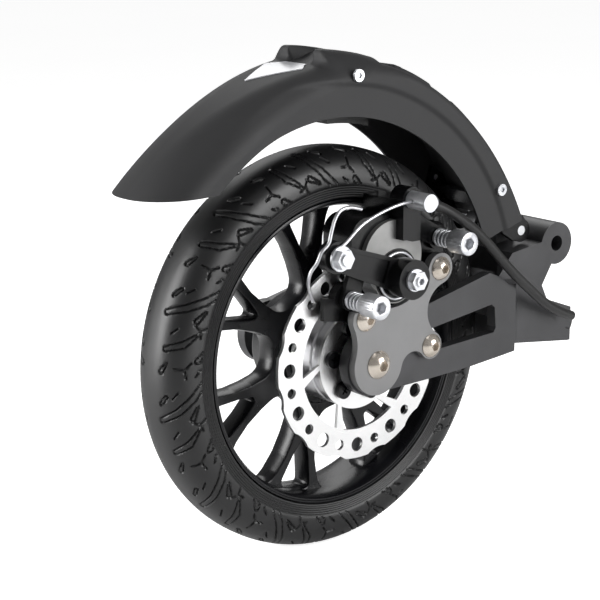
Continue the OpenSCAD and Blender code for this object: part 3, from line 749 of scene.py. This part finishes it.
def fender():
    """A shell swept from the front end over the top to the tail."""
    stations = 380
    low_front, low_rear = (math.radians(degrees) for degrees in LOW_EDGE_ANGLES)
    out_front, out_rear = (math.radians(degrees) for degrees in CROWN_ANGLES)
    points = []
    row_size = 0
    for i in range(stations):
        t = i / (stations - 1)
        low_angle = low_front + (low_rear - low_front) * t
        out_angle = out_front + (out_rear - out_front) * t
        low = FENDER_CENTRE + FENDER_LOW_R * np.array((math.cos(low_angle), math.sin(low_angle)))
        ray = np.array((math.cos(out_angle), math.sin(out_angle)))
        reach = crown_reach(ray)
        top = FENDER_CENTRE + ray * reach
        rail_rise = min(ray_to_circle(FENDER_CENTRE, ray, *RAIL_ARC),
                        ray_to_circle(FENDER_CENTRE, ray, *FRONT_ARC)) - reach
        height = np.linalg.norm(top - low)
        up = (top - low) / height
        corner = shoulder_radius(top[0])
        outer = [fender_point(low + up * h, up, y, h, height, rail_rise)
                 for h, y in fender_section(height, FENDER_HALF, corner)]
        inner_section = fender_section(height - FENDER_WALL, FENDER_HALF - FENDER_WALL,
                                       corner - FENDER_WALL)
        inner = [(low[0] + up[0] * h, y, low[1] + up[1] * h) for h, y in inner_section]
        row = outer + inner[::-1]
        row_size = len(row)
        points += row
    faces = grid_faces(stations, row_size, False, True)
    half_row = row_size // 2
    for start, flip in ((0, False), ((stations - 1) * row_size, True)):
        for k in range(half_row - 1):
            quad = (start + k, start + k + 1, start + row_size - 2 - k, start + row_size - 1 - k)
            faces.append(quad[::-1] if flip else quad)
    add_piece("fender_shell", points, faces, MATERIALS["fender_plastic"], "fender",
              "fender_plastic", ("fender",), 32)


def fender_section(height, half, corner, side_steps=30, corner_steps=14, crown_steps=36):
    """(h, y) points across the fender from the near lower edge to the far one."""
    near = [((height - corner) * k / side_steps, -half) for k in range(side_steps)]
    for k in range(corner_steps + 1):
        a = math.pi / 2 * k / corner_steps
        near.append((height - corner + corner * math.sin(a), -half + corner * (1 - math.cos(a))))
    flat = half - corner
    crown = [(height, -flat + 2 * flat * k / crown_steps) for k in range(1, crown_steps)]
    return near + crown + [(h, -y) for h, y in reversed(near)]


def creased(x, z, y):
    """The y of a side wall point, moved inwards below the crease."""
    out_x, out_z = x - CREASE_CENTRE[0], z - CREASE_CENTRE[1]
    angle = math.degrees(math.atan2(out_z, out_x))
    crease_r = CREASE_R + CREASE_RISE * float(smooth(85, 110, angle))
    below = 1 - float(smooth(crease_r - CREASE_SOFT, crease_r + CREASE_SOFT,
                             math.hypot(out_x, out_z)))
    ahead_of_tail = 1 - float(smooth(108, 126, angle))
    on_wall = float(smooth(20, 25, abs(y)))
    return math.copysign(abs(y) - CREASE_DEPTH * below * ahead_of_tail * on_wall, y)


def fender_point(place, up, y, h, height, rail_rise):
    """Outer surface point with the side crease, the rails and their pads."""
    x, z = place
    side = abs(y)
    on_top = float(smooth(height - 10, height - 3, h))
    pads = sum(rise * float(band(rear, front, PAD_EDGE, x)) for rear, front, rise in PADS)
    rail = float(smooth(RAIL_INSIDE - 0.8, RAIL_INSIDE + 0.8, side))
    channel_fill = float(smooth(RAIL_START + 2, RAIL_START + 24, x))
    widening = float(smooth(18, 32, x))
    slope = 1 - float(smooth(RAIL_OUTSIDE + 7.5 * widening, FENDER_HALF - 2 - 3 * widening,
                             side))
    started = float(smooth(RAIL_START - 4, RAIL_START + 2, x))
    lift = (pads + rail_rise) * (rail + (1 - rail) * channel_fill) * slope * started * on_top
    return (x + up[0] * lift, creased(x, z, y), z + up[1] * lift)


def fender_patch():
    """A plain glossy arrow-shaped patch on the crown behind the rails."""
    x_rear, x_front = -40.0, -13.0
    widest = 14.0
    tip_y = 4.0
    tip_share = 0.78  # of the length over which the patch widens
    front_narrowing = 6.0
    film = 0.45
    lengthwise, across = 40, 24
    (arc_x, arc_z), arc_r = REAR_ARC
    points = []
    for lift in (0.0, film):
        for i in range(lengthwise + 1):
            t = i / lengthwise
            x = x_rear + (x_front - x_rear) * t
            half = widest * min(1.0, (t + 0.02) / tip_share)
            half -= front_narrowing * float(smooth(0.74, 1.0, t))
            z = arc_z + math.sqrt(arc_r ** 2 - (x - arc_x) ** 2)
            corner = shoulder_radius(x)
            for j in range(across + 1):
                y = half * (2 * j / across - 1) + tip_y * (1 - t)
                over = max(0.0, abs(y) - (FENDER_HALF - corner))
                drop = corner - math.sqrt(corner * corner - over * over)
                points.append((x, y, z - drop + lift))
    rows, columns = lengthwise + 1, across + 1
    sheet = grid_faces(rows, columns)
    size = rows * columns
    faces = [face[::-1] for face in sheet] + [tuple(size + k for k in face) for face in sheet]
    rim = list(range(columns))
    rim += [i * columns + columns - 1 for i in range(1, rows)]
    rim += [(rows - 1) * columns + j for j in range(columns - 2, -1, -1)]
    rim += [i * columns for i in range(rows - 2, 0, -1)]
    for k, here in enumerate(rim):
        there = rim[(k + 1) % len(rim)]
        faces.append((here, there, size + there, size + here))
    add_piece("fender_patch", points, faces, MATERIALS["patch_film"], "fender",
              "fender_plastic", sharp=30)


# ---------------------------------------------------------------- stage

def seen_by_camera(tree, target, elsewhere, seen):
    """Drives an input with one value for camera rays and another for all other rays."""
    path = tree.nodes.new("ShaderNodeLightPath")
    scale = tree.nodes.new("ShaderNodeMapRange")
    scale.inputs["To Min"].default_value = elsewhere
    scale.inputs["To Max"].default_value = seen
    tree.links.new(path.outputs["Is Camera Ray"], scale.inputs["Value"])
    tree.links.new(scale.outputs["Result"], target)


def floor():
    """A pale matt floor under the tyre."""
    gap = 0.0002
    bottom = (-PIVOT_RISE - TYRE_R) * MM - gap
    size = 6.0
    mesh = bpy.data.meshes.new("floor")
    mesh.from_pydata([(-size, -size, bottom), (size, -size, bottom), (size, size, bottom),
                      (-size, size, bottom)], [], [(0, 1, 2, 3)])
    material = finish_material("floor_pale", light=(0.93, 0.93, 0.93), dark=(0.91, 0.91, 0.91),
                               metallic=0.0, rough=0.85, grain=60, grain_depth=0.0001, patch=3)
    glow = material.node_tree.nodes["Principled BSDF"]
    glow.inputs["Emission Color"].default_value = (1, 1, 1, 1)
    seen_by_camera(material.node_tree, glow.inputs["Emission Strength"], 0.0, 0.75)
    mesh.materials.append(material)
    plane = bpy.data.objects.new("floor", mesh)
    bpy.context.scene.collection.objects.link(plane)


def studio_world():
    """White to the camera, dim as a light."""
    world = bpy.data.worlds.new("studio")
    world.use_nodes = True
    sky = world.node_tree.nodes["Background"]
    sky.inputs["Color"].default_value = (1, 1, 1, 1)
    seen_by_camera(world.node_tree, sky.inputs["Strength"], 0.22, 1.0)
    bpy.context.scene.world = world


def direction(azimuth, elevation):
    """Unit vector from the object, with azimuth 0 in front of the brake side, in degrees."""
    a, e = math.radians(azimuth), math.radians(elevation)
    return Vector((math.sin(a) * math.cos(e), -math.cos(a) * math.cos(e), math.sin(e)))


# name, azimuth and elevation in degrees, distance in m, power in W, width and height in m
LIGHTS = [
    ("key", 24, 14, 1.2, 12.5, 0.7, 0.7),
    ("left", -118, 12, 1.0, 13, 0.4, 0.9),
    ("back", 150, 35, 1.4, 3.5, 0.9, 0.6),
    ("top", -40, 75, 1.3, 2, 0.7, 0.7),
]


def soft_lights():
    """Soft boxes that face the wheel."""
    centre = at(20, 0, 20)
    for name, azimuth, elevation, distance, power, width, height in LIGHTS:
        light = bpy.data.lights.new(name, "AREA")
        light.energy = power
        light.shape = "RECTANGLE"
        light.size = width
        light.size_y = height
        holder = bpy.data.objects.new(name, light)
        away = direction(azimuth, elevation)
        holder.location = centre + away * distance
        holder.rotation_euler = away.to_track_quat("Z", "Y").to_euler()
        bpy.context.scene.collection.objects.link(holder)


def main_camera():
    """Low three-quarter view of the brake side through a long lens."""
    distance = 1.001
    shift_right, shift_up = -7.94, 22.5  # mm, from the wheel centre to the middle of the view
    back = direction(-38.97, 13.21)
    right = Vector((0, 0, 1)).cross(back).normalized()
    up = back.cross(right)
    aim = at(0, 0, 0) + (right * shift_right + up * shift_up) * MM
    lens = bpy.data.cameras.new("camera")
    lens.lens = 121.6
    lens.sensor_width = 36
    camera = bpy.data.objects.new("camera", lens)
    camera.location = aim + back * distance
    camera.rotation_euler = back.to_track_quat("Z", "Y").to_euler()
    bpy.context.scene.collection.objects.link(camera)
    bpy.context.scene.camera = camera
    bpy.context.scene.view_settings.view_transform = "Standard"
    bpy.context.scene.view_settings.look = "None"


dress_cad_nodes()
tyre()
wheel()
rotor_carrier()
guide_bolts()
cables()
fender()
fender_patch()
floor()
studio_world()
soft_lights()
main_camera()
